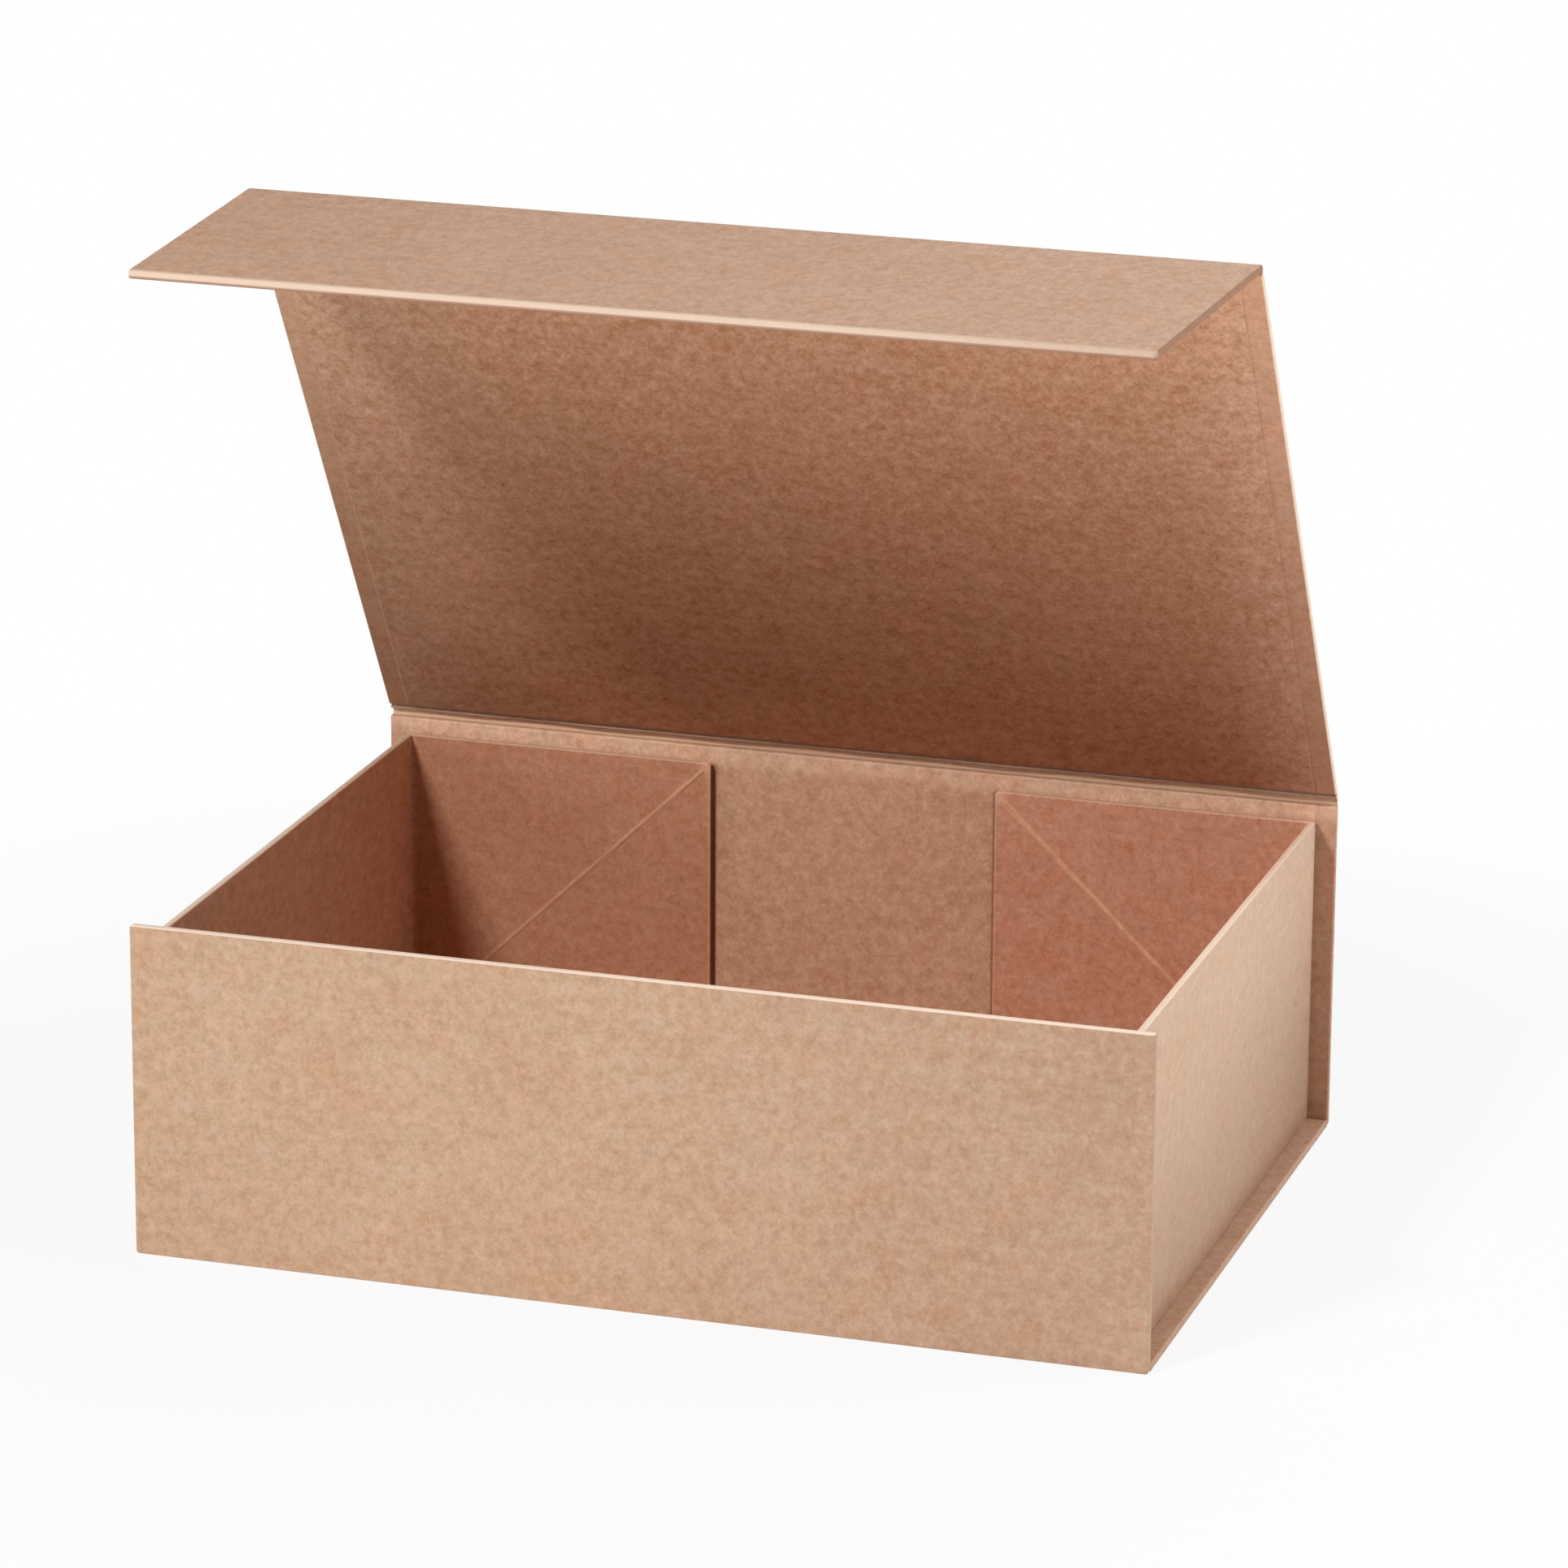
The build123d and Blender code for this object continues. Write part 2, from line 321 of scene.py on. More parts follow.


# Back panel
# The back wall of the tray carries the lid on a paper hinge. Its top edge shows as a pale rounded
# band inside the box, just below the groove of the hinge, partly paler paper and partly painted light
# where the key light reaches under the flap. Its ends past the side walls carry painted shade.
def toned(first, second):
    """The tint that turns a first colour into a second."""
    return tuple(b / a for a, b in zip(first, second))


back_low, back_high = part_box("back_panel")
back_board = back_high.y - back_low.y
back_band = 7.0 * MM
back_top_pale_and_lit = tint(226, 187, 158)
back_end_painted_shade = (0.90, 0.86, 0.88, 1)
# Inside the tray the paper is redder and darker, partly its own tone and partly painted shade of the
# light bounced inside the box.
tray_brown_and_shade = tint(199, 157, 127)
wall_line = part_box("right_side_wall")[1].x

back_paper = Kraft("back_kraft")
back_paper.lay(kraft_brown, **outside)
back_inside = 1 - back_paper.step(back_paper.y, back_low.y + 0.2 * back_board,
                                  back_low.y + 0.5 * back_board)
back_paper.glazed(back_inside, untoned, toned(kraft_brown, tray_brown_and_shade))
# Pale top band, partly paler paper and partly painted light.
back_rim_lit = back_paper.step(back_paper.z, back_high.z - back_band, back_high.z - 0.1 * back_band)
back_paper.glazed(back_inside * back_rim_lit, untoned, toned(tray_brown_and_shade, back_top_pale_and_lit))
# Painted shade on the ends past the side walls, which lie in the walls' shadow.
back_end = back_inside * back_paper.step(abs(back_paper.x), wall_line - MM, wall_line + MM)
back_paper.glazed(back_end, untoned, back_end_painted_shade)
wear("back_panel", back_paper.done())


# Lid panel
# The lid is one wrapped board that leans over the tray. It is mitred where the closing flap folds
# on, and its short ends show the pale line of paper turned round the board. Its inner face carries
# painted shade towards the hinge and painted light towards the fold and the right end.
lid_board = 2.6 * MM
# Inside the lid the paper is redder and darker, partly its own tone and partly painted shade of the
# light bounced inside the box.
lid_brown_and_shade = tint(192, 143, 111)
lid_end_pale = 0.7
hinge_painted_shade = (0.68, 0.58, 0.50, 1)
fold_painted_light = (1.40, 1.50, 1.52, 1)
lid_left_painted_shade = (0.95, 0.96, 0.97, 1)
lid_right_painted_light = (1.13, 1.14, 1.17, 1)
left_margin_painted_light = (0.92, 0.99, 1.09, 1)
right_margin_painted_light = (1.34, 1.53, 1.82, 1)
lid_foot_painted_shadow = (0.82, 0.76, 0.77, 1)
lid_foot_shadow_reach = 0.22

joints = {joint["name"]: joint for joint in frame["joints"]}
hinge_line = Vector(joints["lid_hinge"]["pos_m"])
fold_line = Vector(joints["flap_hinge"]["pos_m"])
lid_length = (fold_line - hinge_line).length
lid_run = (fold_line - hinge_line).normalized()
lid_inward = Vector((0, -lid_run.z, lid_run.y))


def along(paper, origin, direction):
    """How far each point of a paper is from an origin in a direction square to the box's width."""
    return direction.y * paper.y + direction.z * paper.z - direction.dot(origin)


def from_left(paper):
    """Rise from 0 at the left end of the box to 1 at its right end."""
    return 0.5 + paper.x * (0.5 / half_width)


def paint_lid_light_and_shade(paper, mask):
    """Paints light and shade on the lid's inner face where mask is 1: painted shade at the hinge and a
    painted shadow at its foot, painted light at the fold and the right end, and a cooler painted light
    at the left end.
    """
    run = along(paper, hinge_line, lid_run) * (1 / lid_length)
    paper.glazed(run * (0.3 + 0.7 * run), hinge_painted_shade, fold_painted_light, mask)
    paper.glazed(from_left(paper), lid_left_painted_shade, lid_right_painted_light, mask)
    left_margin = paper.step(paper.x, -half_width, -0.55 * half_width)
    paper.glazed(left_margin, left_margin_painted_light, untoned, mask)
    rightward = 0.35 + 0.65 * paper.step(paper.x, 0.0, 0.6 * half_width)
    foot = (1 - paper.step(run, 0.0, lid_foot_shadow_reach)) * rightward
    paper.glazed(foot, untoned, lid_foot_painted_shadow, mask)
    right_margin = paper.step(paper.x, 0.76 * half_width, 1.04 * half_width)
    paper.glazed(right_margin * (1 - 0.9 * run * run), untoned, right_margin_painted_light, mask)


lid_paper = Kraft("lid_kraft")
lid_paper.lay(kraft_brown, **outside)
lid_inside = lid_paper.step(along(lid_paper, hinge_line, lid_inward), 0.6 * lid_board, 0.8 * lid_board)
lid_paper.glazed(lid_inside, untoned, toned(kraft_brown, lid_brown_and_shade))
# Painted light and shade on the lid's inner face.
paint_lid_light_and_shade(lid_paper, lid_inside)
lid_end = lid_paper.step(abs(lid_paper.x), half_width - 0.8 * edge_depth, half_width - 0.1 * edge_depth)
lid_paper.paint_over(lid_end_pale * lid_end, edge_cream)
wear("lid_panel", lid_paper.done())


# Closing flap
# The flap folds down over the front panel and holds the box shut with magnets under its inner
# sheet. Its free edge is pale, fading to the right, with painted shade on its lower part where the
# edge rounds under, and its cut ends are darker. It is redder and darker at its left and lighter at
# its right, partly its own tone and partly painted light from the right.
flap_low, flap_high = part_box("closing_flap")
flap_length = flap_high.y - flap_low.y
flap_brown = tint(198, 161, 134)
flap_cream = tint(234, 206, 184)
flap_end_dark_and_shade = tint(150, 106, 80)
flap_left_tint_and_shade = (1.0, 0.95, 0.94, 1)
flap_right_tint_and_light = (1.03, 1.04, 1.06, 1)
flap_grain = (1.1, 0.8, 1.1)
flap_taper = 4.2 * MM
flap_fade = 2.6 * MM
flap_droop = math.radians(1.0)
flap_run = Vector((0, -math.cos(flap_droop), -math.sin(flap_droop)))
flap_down = Vector((0, -flap_run.z, flap_run.y))

flap_paper = Kraft("flap_kraft", flap_grain)
flap_paper.lay(flap_brown, marking=1.2, blush=0.9)
# Redder and darker at the left, lighter at the right: partly the paper's own tone and partly painted
# light from the right.
flap_paper.glazed(from_left(flap_paper), flap_left_tint_and_shade, flap_right_tint_and_light)
flap_half = half_width - flap_taper * (flap_high.y - flap_paper.y) * (1 / flap_length)
flap_end = flap_paper.step(abs(flap_paper.x) - flap_half, -edge_depth, -0.3 * edge_depth)
flap_paper.paint_over(0.8 * flap_end, flap_end_dark_and_shade)
flap_edge = 1 - flap_paper.step(flap_paper.y, flap_low.y + 0.2 * flap_fade, flap_low.y + flap_fade)
flap_edge_pale_share = 0.9 - 0.4 * flap_paper.step(flap_paper.x, 0.3 * half_width, half_width)
flap_paper.paint_over(flap_edge * flap_edge_pale_share, flap_cream)
# Painted shade on the lower part of the free edge, where it rounds under.
flap_under_shade = flap_paper.step(along(flap_paper, fold_line, flap_down), 0.45 * lid_board, 0.7 * lid_board)
flap_paper.paint_over(0.75 * flap_edge * flap_under_shade, flap_end_dark_and_shade)
wear("closing_flap", flap_paper.done())


# Paper hinges
# The wrapping paper runs on bare between the boards. At the lid it bridges a groove as wide as two
# boards, where the inner sheet is pressed in and rises a little between two creases. At the flap it
# only turns the corner of the mitred boards.
def ripple(x):
    """How much more or less the paper swells at a place across the box."""
    return 1 + 0.18 * math.sin(95 * x) * math.cos(41 * x + 1)


def swell_level(share, crest):
    """Height of the swell across the paper, which stays half up beyond its crest."""
    level = math.exp(-((share - crest) / 0.16) ** 2)
    return max(level, 0.5) if share > crest else level


def bent_paper(name, start, corner, end, sheet, swell, crest, columns, rows):
    """Strip of paper that turns from start to end round a corner, and swells on its inner face."""
    before = (corner - start).normalized()
    after = (end - corner).normalized()
    turn = before.angle(after)
    inward = Vector((0, -before.z, before.y))
    radius = (corner - start).length / math.tan(turn / 2)
    centre = start + inward * radius
    section = []
    for row in range(rows + 1):
        share = row / rows
        out = Matrix.Rotation(turn * share, 3, "X") @ (start - centre)
        section.append((out.normalized(), share))
    points, faces, shares = [], [], []
    for column in range(columns + 1):
        x = strip_half * (2 * column / columns - 1)
        for out, share in section:
            points.append(centre + out * (radius + sheet / 2) + Vector((x, 0, 0)))
            shares.append(0.0)
        for out, share in section:
            rise = sheet / 2 + swell * ripple(x) * swell_level(share, crest)
            points.append(centre + out * (radius - rise) + Vector((x, 0, 0)))
            shares.append(share)
    ring = 2 * (rows + 1)
    for column in range(columns):
        here, there = column * ring, (column + 1) * ring
        for row in range(rows):
            faces.append((here + row, there + row, there + row + 1, here + row + 1))
            inner = rows + 1 + row
            faces.append((here + inner + 1, there + inner + 1, there + inner, here + inner))
        for outer, inner in ((0, rows + 1), (rows, 2 * rows + 1)):
            faces.append((here + outer, here + inner, there + inner, there + outer))
    for column in (0, columns):
        rim = column * ring
        for row in range(rows):
            faces.append((rim + row, rim + row + 1, rim + rows + 2 + row, rim + rows + 1 + row))
    mesh = bpy.data.meshes.new(name)
    mesh.from_pydata(points, [], faces)
    mesh.attributes.new("inner_share", "FLOAT", "POINT").data.foreach_set("value", shares)
    mesh.validate()
    for polygon in mesh.polygons:
        polygon.use_smooth = True
    piece = bpy.data.objects.new(name, mesh)
    bpy.context.scene.collection.objects.link(piece)
    return piece


strip_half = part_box("lid_hinge_strip")[1].x
hinge_half = hinge_line.z - back_high.z
hinge_foot = Vector((0, hinge_line.y, back_high.z))
hinge_top = hinge_line + lid_run * hinge_half
hinge_sheet = 0.5 * MM
hinge_swell = 1.9 * MM
hinge_crest = 0.66
hinge_groove = 0.40
groove_shade_brown = tint(128, 84, 61)
hinge_paper = bent_paper("lid_hinge_paper", hinge_foot, hinge_line, hinge_top,
                         hinge_sheet, hinge_swell, hinge_crest, columns=132, rows=18)
hinge_kraft = Kraft("hinge_kraft")
hinge_kraft.lay(kraft_brown, **outside)
crossed = hinge_kraft.node("ShaderNodeAttribute", {"attribute_name": "inner_share"}, out="Fac")
hinge_inside = hinge_kraft.step(crossed, 0.0, 0.02)
past_groove_shade = hinge_kraft.step(crossed, hinge_groove, hinge_crest)
before_groove_lit = 1 - hinge_kraft.step(crossed, 0.15, hinge_groove)
# Painted shade in the groove under the lid's lower edge; below the groove the paper carries on the back
# panel's top band, partly paler paper and partly painted light.
hinge_kraft.paint_over(0.5 * hinge_inside * past_groove_shade, groove_shade_brown)
hinge_kraft.paint_over(0.8 * hinge_inside * before_groove_lit, back_top_pale_and_lit)
hinge_paper.data.materials.append(hinge_kraft.done())
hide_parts("lid_hinge_strip")
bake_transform(hinge_paper)

fold_half = 0.6 * MM
fold_sheet = 0.4 * MM
fold_start = fold_line - lid_run * fold_half
fold_end = fold_line + flap_run * fold_half
fold_paper = bent_paper("flap_fold_paper", fold_start, fold_line, fold_end,
                        fold_sheet, swell=0.0, crest=0.5, columns=24, rows=10)
fold_kraft = Kraft("fold_kraft")
fold_kraft.lay(kraft_brown, **outside)
fold_paper.data.materials.append(fold_kraft.done())
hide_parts("flap_hinge_strip")
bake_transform(fold_paper)


# Inner sheets
# Thin kraft sheets are glued over the inside of tray, lid and flap, a few millimetres short of the
# edges, so that the turned-in paper ends below them in a fine step. The lid's carries painted shade
# towards the hinge and painted light towards the fold, and the flap's painted light near the fold.
# The tray's is paler at its top, partly paler paper and partly painted light, with a painted shadow
# along the wings' free edges.
inside = {"marking": 1.2, "blush": 0.8}
wing_shadow_brown = tint(120, 76, 54)
wing_shadow_inset = 0.3 * MM
wing_shadow_half = 1.2 * MM
sheet_pale = tint(214, 166, 134)
wing_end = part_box("right_side_wall")[0].x
wing_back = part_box("right_side_wall")[1].y
wing_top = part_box("right_side_wall")[1].z

tray_paper = Kraft("tray_liner_kraft")
tray_paper.lay(tray_brown_and_shade, **inside)
# Painted shadow along the wings' free edges.
wing_shadow_line = 1 - tray_paper.step(abs(abs(tray_paper.x) - wing_end + wing_shadow_inset), wing_shadow_half / 3, wing_shadow_half)
below_top = 1 - tray_paper.step(tray_paper.z, wing_top - 1.5 * MM, wing_top)
upright = tray_paper.step(abs(tray_paper.y), wing_back - 0.5 * MM, wing_back)
tray_paper.paint_over(0.5 * wing_shadow_line * below_top * upright, wing_shadow_brown)
# Paler top, partly paler paper and partly painted light, as on the back panel.
tray_rim_lit = tray_paper.step(tray_paper.z, back_high.z - 1.2 * back_band, back_high.z - 0.3 * back_band)
tray_paper.glazed(0.85 * tray_rim_lit, untoned, toned(tray_brown_and_shade, back_top_pale_and_lit))
wear("tray_liner", tray_paper.done())

lid_sheet_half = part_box("lid_liner")[1].x
lid_sheet = Kraft("lid_liner_kraft")
lid_sheet.lay(lid_brown_and_shade, marking=1.5, blush=0.6)
paint_lid_light_and_shade(lid_sheet, 1.0)
sheet_rim = lid_sheet.step(abs(lid_sheet.x), lid_sheet_half - 0.5 * MM, lid_sheet_half - 0.1 * MM)
lid_sheet.paint_over(0.45 * sheet_rim, sheet_pale)
wear("lid_liner", lid_sheet.done())

flap_sheet = Kraft("flap_liner_kraft")
flap_sheet.lay(lid_brown_and_shade, **inside)
# Painted light near the fold, as on the lid.
flap_sheet.glazed(along(flap_sheet, fold_line, flap_run) * (1 / flap_length), fold_painted_light, untoned)
wear("flap_liner", flap_sheet.done())


# Side walls
# Each side wall is one board folded at its corners, with a square wing at each end that lies on the
# front or back panel. The wings are creased corner to corner, where they fold when the box is laid
# flat. The crease stays as a low ridge with a painted highlight along it, the wings' top corners and
# free-edge rims are paler, and their cut faces carry painted shade. The outer face carries painted
# light at its top and painted shade at its foot and back; the inner face carries painted light and
# the left wings painted shade.
wall_board = 2.2 * MM
wall_edge = 0.5 * MM
wall_grain = (1.1, 0.7, 1.1)
# On the walls' inner faces and wings the paper is redder and darker, partly its own tone and partly
# painted shade of the light bounced inside the box.
wall_brown_and_shade = tint(196, 144, 114)
wall_outer_pale_and_sheen = tint(208, 174, 147)
wall_low_painted_shade = (0.78, 0.75, 0.73, 1)
wall_top_painted_light = (1.09, 1.14, 1.18, 1)
wall_light_start = 20 * MM
wall_foot_painted_shade = (0.88, 0.80, 0.76, 1)
wall_foot_shade_reach = 9.0 * MM
wall_back_painted_shade = (0.86, 0.81, 0.81, 1)
fold_rosy = tint(176, 126, 98)
fold_reach = 2.5 * MM
crease_highlight_pale = tint(226, 176, 142)
crease_half = 1.5 * MM
crease_highlight_share = {"left": 0.25, "right": 0.38}
cut_face_shade_brown = tint(112, 68, 46)
rim_inset = 0.8 * MM
corner_reach = 6.0 * MM
wing_marking = {"left": 1.0, "right": 1.05}
wing_blush = {"left": 0.7, "right": 1.3}
wing_painted_shade = {"left": (0.91, 0.88, 0.84, 1), "right": (1.02, 0.99, 1.01, 1)}
face_painted_light = (1.08, 1.20, 1.27, 1)
ridge_highlight_brown = {"left": tint(203, 151, 120), "right": tint(216, 164, 130)}
ridge_height = {"left": 0.22 * MM, "right": 0.40 * MM}
ridge_half = 1.3 * MM
ridge_inset = 4.5 * MM
ridge_sway = 0.12 * MM
ridge_sunk = 0.1 * MM


def crease_ridge(name, foot, head, height, stretches=90, steps=8):
    """Low rounded ridge on a wing's inner face from foot to head, with an uneven line and height."""
    run = (head - foot).normalized()
    inward = Vector((0, -math.copysign(1, foot.y), 0))
    sideways = run.cross(inward)
    length = (head - foot).length - 2 * ridge_inset
    points, faces = [], []
    for stretch in range(stretches + 1):
        share = stretch / stretches
        ends = min(1, 12 * share, 12 * (1 - share))
        sway = ends * ridge_sway * (math.sin(31 * share + 40 * foot.x) + 0.6 * math.sin(83 * share + 2))
        uneven = 1 + 0.22 * math.sin(57 * share + 1) * math.sin(23 * share)
        lift = height * (0.25 + 0.75 * ends) * uneven
        half = ridge_half * (0.6 + 0.4 * share)
        middle = foot + run * (ridge_inset + share * length)
        for step in range(steps + 1):
            place = 2 * step / steps - 1
            rise = -ridge_sunk
            if abs(place) < 1:
                rise = lift * math.cos(place * math.pi / 2) ** 1.5
            points.append(middle + sideways * (sway + place * half) + inward * rise)
    ring = steps + 1
    for stretch in range(stretches):
        here, there = stretch * ring, (stretch + 1) * ring
        for step in range(steps):
            faces.append((here + step, there + step, there + step + 1, here + step + 1))
        faces.append((here, here + steps, there + steps, there))
    faces.append(tuple(range(ring)))
    faces.append(tuple(stretches * ring + step for step in reversed(range(ring))))
    mesh = bpy.data.meshes.new(name)
    mesh.from_pydata(points, [], faces)
    mesh.validate()
    fix = bmesh.new()
    fix.from_mesh(mesh)
    bmesh.ops.recalc_face_normals(fix, faces=fix.faces)
    fix.to_mesh(mesh)
    fix.free()
    for polygon in mesh.polygons:
        polygon.use_smooth = len(polygon.vertices) == 4
    piece = bpy.data.objects.new(name, mesh)
    bpy.context.scene.collection.objects.link(piece)
    return piece


for side in ("left", "right"):
    wall = side + "_side_wall"
    wall_low, wall_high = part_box(wall)
    wall_face = max(abs(wall_low.x), abs(wall_high.x))
    wall_inner = wall_face - wall_board
    wall_paper = Kraft(wall + "_kraft", wall_grain)
    across = abs(wall_paper.x)

    # Outer face in a paler paper that is partly a painted sheen, with painted light at its top, painted
    # shade towards its foot and the back, and rosy at the folds
    wall_paper.lay(wall_outer_pale_and_sheen, marking=0.6, blush=0.6)
    upward = wall_paper.step(wall_paper.z, wall_low.z - wall_light_start, wall_high.z)
    wall_paper.glazed(upward, wall_low_painted_shade, wall_top_painted_light)
    foot_line = 1 - wall_paper.step(wall_paper.z, wall_low.z, wall_low.z + wall_foot_shade_reach)
    wall_paper.glazed(foot_line, untoned, wall_foot_painted_shade)
    backward = wall_paper.step(wall_paper.y, 0.0, wall_high.y)
    lower = 1 - wall_paper.step(wall_paper.z, wall_low.z, wall_high.z)
    wall_paper.glazed(backward * (0.3 + 0.7 * lower), untoned, wall_back_painted_shade)
    fold = wall_paper.step(abs(wall_paper.y), wall_high.y - fold_reach, wall_high.y - 0.4 * MM)
    wall_paper.paint_over(0.4 * fold, fold_rosy)
    outer_paper = wall_paper.paper

    # Inner face and wings, with painted light on the wall's inner face and painted shade on the left
    # wings
    wall_paper.lay(wall_brown_and_shade, wing_marking[side], wing_blush[side])
    on_wall = wall_paper.step(across, wall_inner - 2.0 * MM, wall_inner - 0.3 * MM)
    wall_paper.glazed(on_wall, wing_painted_shade[side], face_painted_light)

    # Painted highlight along the crease, from the wing's top corner to the foot of the fold
    slope = math.atan2(wall_high.z - wall_low.z, wall_inner - wing_end)
    off_crease = math.sin(slope) * (across - wall_inner) + math.cos(slope) * (wall_paper.z - wall_low.z)
    crease = 1 - wall_paper.step(abs(off_crease), 0.2 * crease_half, crease_half)
    wall_paper.paint_over(crease_highlight_share[side] * crease, crease_highlight_pale)

    # Wing's free edge, with painted shade on its cut face, a pale rim beside it and a paler top corner
    rim = 1 - wall_paper.step(abs(across - wing_end - rim_inset), 0.1 * MM, 0.5 * MM)
    spot = wall_paper.node("ShaderNodeCombineXYZ", None, {0: across, 2: wall_paper.z})
    tip = (wing_end + wall_edge, 0.0, wall_high.z - wall_edge)
    apart = wall_paper.node("ShaderNodeVectorMath", {"operation": "DISTANCE"},
                            {0: spot, 1: tip}, out="Value")
    corner = 1 - wall_paper.step(apart, 0.25 * corner_reach, corner_reach)
    wall_paper.paint_over((0.35 * rim).most(0.55 * corner), crease_highlight_pale)
    cut = 1 - wall_paper.step(across, wing_end + 0.2 * MM, wing_end + wall_edge)
    wall_paper.paint_over(0.85 * cut, cut_face_shade_brown)

    # Both faces together, under the pale top edge, which painted light makes brighter towards the front,
    # where the lid does not shade it
    outer = wall_paper.step(across, wall_face - 0.6 * wall_board, wall_face - 0.3 * wall_board)
    wall_paper.paint_over(outer, outer_paper)
    top = wall_paper.step(wall_paper.z, wall_high.z - 1.2 * wall_edge, wall_high.z - 0.3 * wall_edge)
    lit_front = 1 - wall_paper.step(wall_paper.y, 0.2 * wall_low.y, 0.9 * wall_high.y)
    wall_paper.paint_over(top * (0.25 + 0.55 * lit_front), edge_cream)
    wear(wall, wall_paper.done())

    # The ridge that the crease raises on each wing, uneven where the board has been folded, painted
    # paler as a highlight
    ridge_kraft = Kraft("crease_kraft_" + side)
    ridge_kraft.lay(ridge_highlight_brown[side], marking=0.9, blush=0.4)
    ridge_paper = ridge_kraft.done()
    for place, end in (("front", wall_low.y + wall_board), ("back", wall_high.y - wall_board)):
        foot = Vector((math.copysign(wall_inner, wall_low.x), end, wall_low.z))
        head = Vector((math.copysign(wing_end, wall_low.x), end, wall_high.z))
        ridge = crease_ridge("crease_ridge_" + place + "_" + side, foot, head, ridge_height[side])
        ridge.data.materials.append(ridge_paper)
        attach(ridge, "tray")


# Tape, magnets and keepers
# Double-sided tape holds the wings to the panels. Nickel-plated magnets sit in pockets of the flap
# and meet steel discs in the front panel. All of them are covered by the paper.
tape_waves = 300.0
disc_waves = 2500.0
tape_film = Finish(bpy.data.materials.new("tape_film"))
tape_cloud = tape_film.noise(tape_film.node("ShaderNodeTexCoord", out="Object"), tape_waves, detail=3.0)
tape_film.show({"Base Color": tape_film.mix(tape_cloud, tint(222, 220, 210), tint(240, 238, 230)),
                "Roughness": 0.45})
plated = Finish(bpy.data.materials.new("plated_discs"))
turning = plated.noise(plated.node("ShaderNodeTexCoord", out="Object"), disc_waves)
plated.show({"Base Color": plated.mix(turning, tint(176, 178, 182), tint(204, 206, 210)),
             "Metallic": 1.0, "Roughness": 0.25 + 0.15 * turning})
for side in ("left", "right"):
    wear("wing_tape_front_" + side, tape_film.owner)
    wear("wing_tape_back_" + side, tape_film.owner)
    wear("flap_magnet_" + side, plated.owner)
    wear("front_keeper_" + side, plated.owner)


# Studio
# A white sheet of paper on the table carries the box and runs out of view all round. A soft key light
# stands high at the front left, with white cards at the sides, behind and low in front, in a white
# room. The sheet looks almost white, and keeps a faint shadow of the box.
floor_reach = 6.0
floor_drop = 0.05 * MM
floor_grey = (0.86, 0.86, 0.86, 1)
plain_white = (1, 1, 1, 1)
shadow_share = 0.14
shadow_near = 0.2
shadow_far = 0.6
room_fill = 0.04

floor_mesh = bpy.data.meshes.new("studio_floor")
floor_corners = [(-floor_reach, -floor_reach, 0), (floor_reach, -floor_reach, 0),
                 (floor_reach, floor_reach, 0), (-floor_reach, floor_reach, 0)]
floor_mesh.from_pydata(floor_corners, [], [(0, 1, 2, 3)])
floor = bpy.data.objects.new("studio_floor", floor_mesh)
floor.location.z = -floor_drop
bpy.context.scene.collection.objects.link(floor)


def seen_directly(finish):
    """1 where the camera, a gloss or a clear piece looks straight at a surface, and 0 for its light."""
    path = finish.node("ShaderNodeLightPath", out="Is Camera Ray")
    return path.most(path.other("Is Glossy Ray")).most(path.other("Is Transmission Ray"))


floor_white = Finish(bpy.data.materials.new("floor_white"))
floor_white.show({"Base Color": floor_grey, "Roughness": 0.9, "Specular IOR Level": 0.0})
floor_place = floor_white.node("ShaderNodeTexCoord", out="Object")
away = floor_white.node("ShaderNodeVectorMath", {"operation": "LENGTH"}, {0: floor_place}, out="Value")
white_share = 1 - shadow_share + shadow_share * floor_white.step(away, shadow_near, shadow_far)
white = floor_white.node("ShaderNodeEmission", None, {"Color": plain_white, "Strength": 1.0})
lit = Shade(floor_white, floor_white.shader.outputs[0])
floor_mix = floor_white.node("ShaderNodeMixShader", None,
                             {0: white_share * seen_directly(floor_white), 1: lit, 2: white})
floor_white.feed(floor_white.tree.nodes["Material Output"].inputs["Surface"], floor_mix)
floor_mesh.materials.append(floor_white.owner)

room = Finish(bpy.data.worlds.new("white_room"), "Background")
room.show({"Color": plain_white, "Strength": room_fill + (1 - room_fill) * seen_directly(room)})
bpy.context.scene.world = room.owner


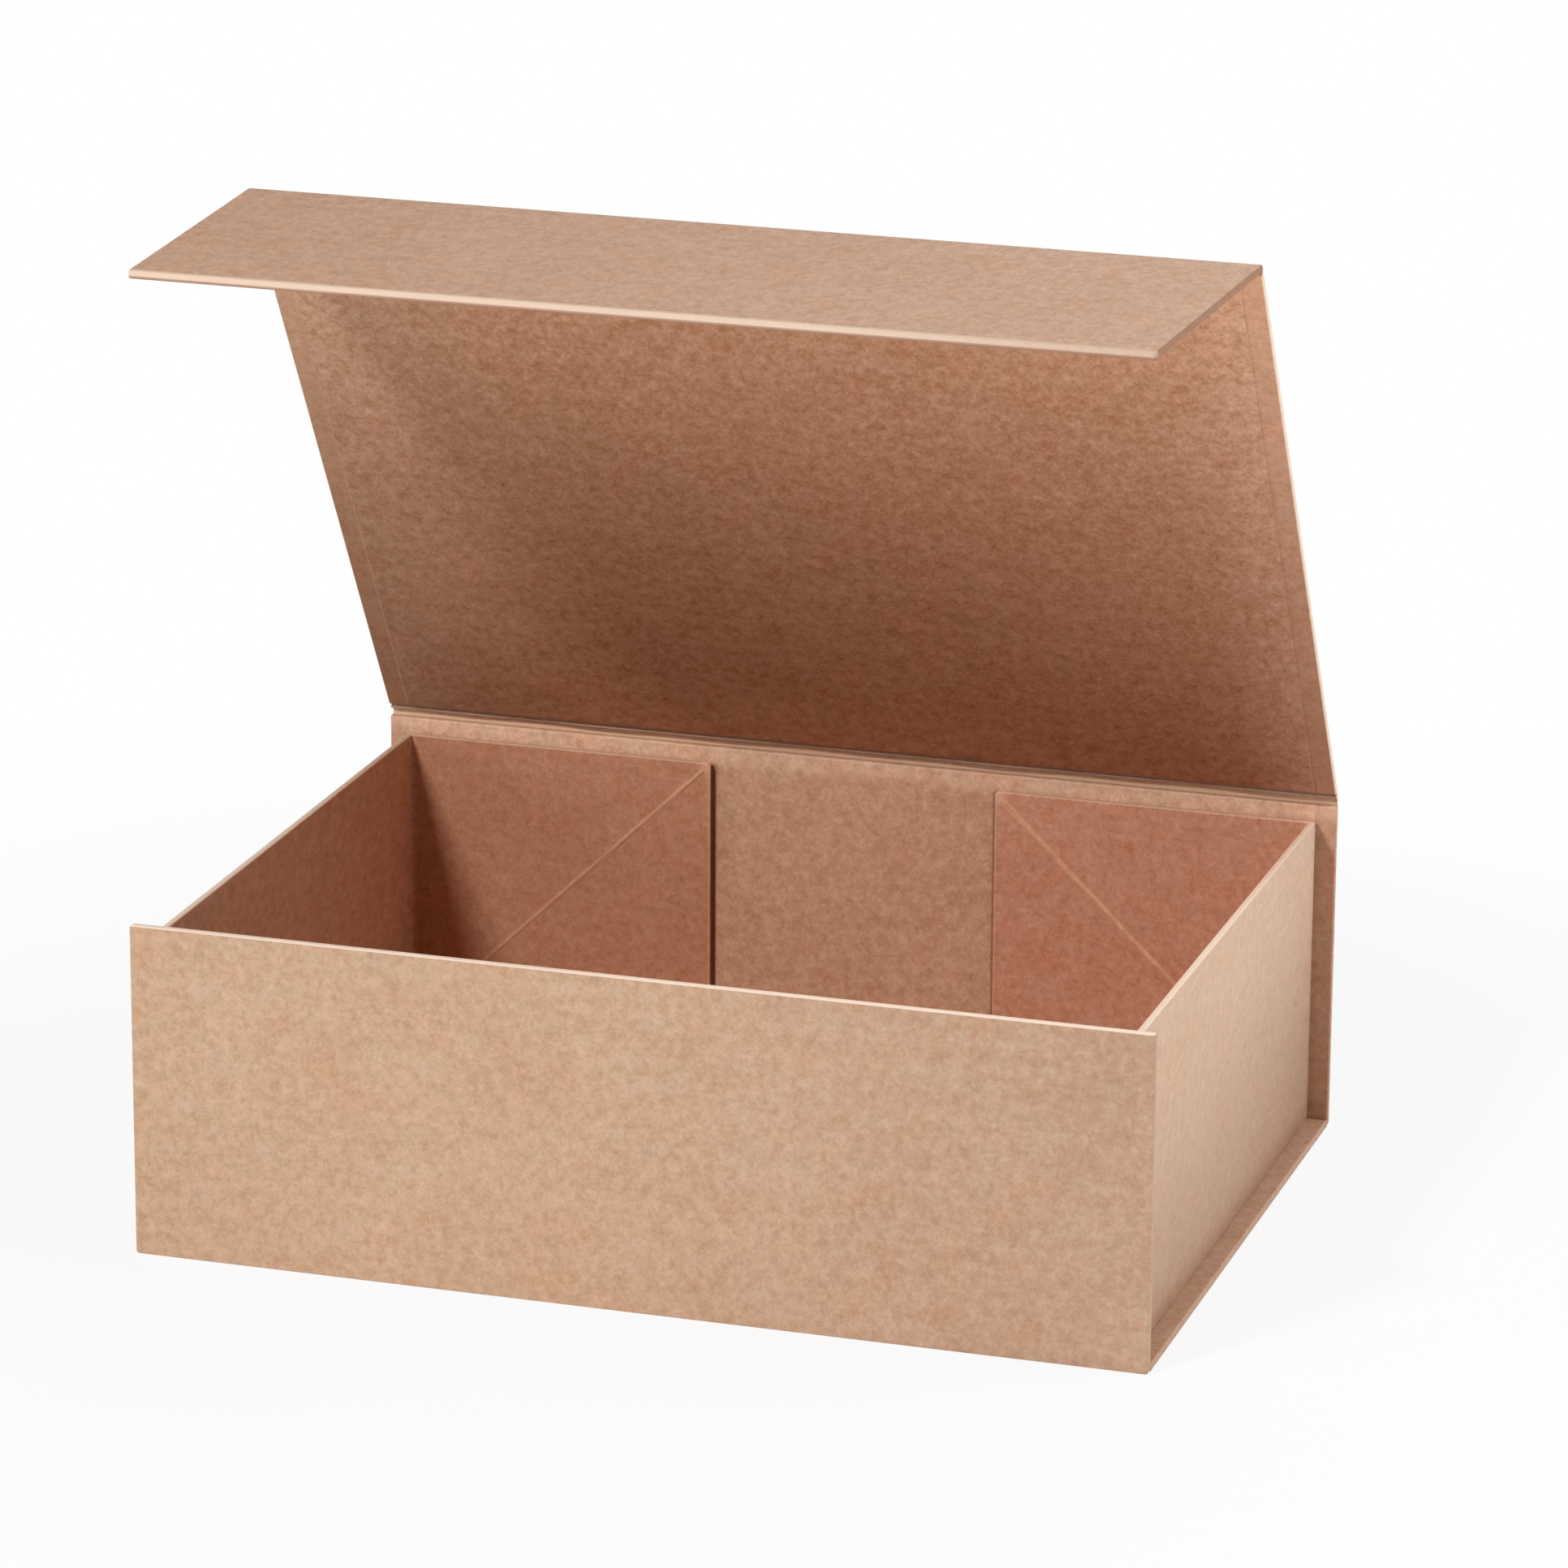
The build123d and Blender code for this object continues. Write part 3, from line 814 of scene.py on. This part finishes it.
def lamp(name, place, aim, width, height, power):
    """Soft light on a flat card that faces a point."""
    data = bpy.data.lights.new(name, "AREA")
    data.shape = "RECTANGLE"
    data.size = width
    data.size_y = height
    data.energy = power
    made = bpy.data.objects.new(name, data)
    made.location = place
    made.rotation_mode = "QUATERNION"
    made.rotation_quaternion = (Vector(aim) - Vector(place)).to_track_quat("-Z", "Y")
    made.visible_camera = False
    bpy.context.scene.collection.objects.link(made)


box_middle = (0.0, 0.0, 0.12)
right_side = (0.16, 0.0, 0.1)
lid_middle = (0.0, -0.02, 0.28)
lamp("key_light", (-0.64, -1.47, 1.46), box_middle, width=0.40, height=0.05, power=27.0)
lamp("left_card", (-1.7, -1.0, 0.5), box_middle, width=0.8, height=0.8, power=7.7)
lamp("right_card", (0.88, 0.2, 0.72), right_side, width=0.8, height=0.8, power=7.2)
lamp("back_card", (0.0, 2.6, 1.0), box_middle, width=2.0, height=2.0, power=22.0)
lamp("low_right_card", (0.62, -0.55, 0.10), lid_middle, width=0.3, height=0.3, power=0.75)
lamp("low_front_card", (0.0, -0.75, 0.02), lid_middle, width=0.6, height=0.6, power=0.6)


# Camera
# A long lens looks down at the box from its front right, from a little over two metres away, with a
# slight roll.
camera_place = Vector((672.705, -2119.1, 822.814)) * MM
camera_turn = math.radians(17.331)
camera_rise = math.radians(17.15)
camera_roll = math.radians(0.368)
focal_pixels = 9003.0
image_pixels = 1932.0
film_width = 36.0
back = Vector((math.sin(camera_turn) * math.cos(camera_rise),
               -math.cos(camera_turn) * math.cos(camera_rise), math.sin(camera_rise)))
level_right = (-back).cross(Vector((0, 0, 1))).normalized()
level_up = back.cross(level_right)
right = level_right * math.cos(camera_roll) + level_up * math.sin(camera_roll)
up = level_up * math.cos(camera_roll) - level_right * math.sin(camera_roll)
camera_data = bpy.data.cameras.new("camera")
camera_data.sensor_width = film_width
camera_data.lens = film_width * focal_pixels / image_pixels
camera = bpy.data.objects.new("camera", camera_data)
bpy.context.scene.collection.objects.link(camera)
camera.matrix_world = Matrix.Translation(camera_place) @ Matrix((right, up, back)).transposed().to_4x4()
bpy.context.scene.camera = camera
bpy.context.scene.view_settings.view_transform = "Standard"
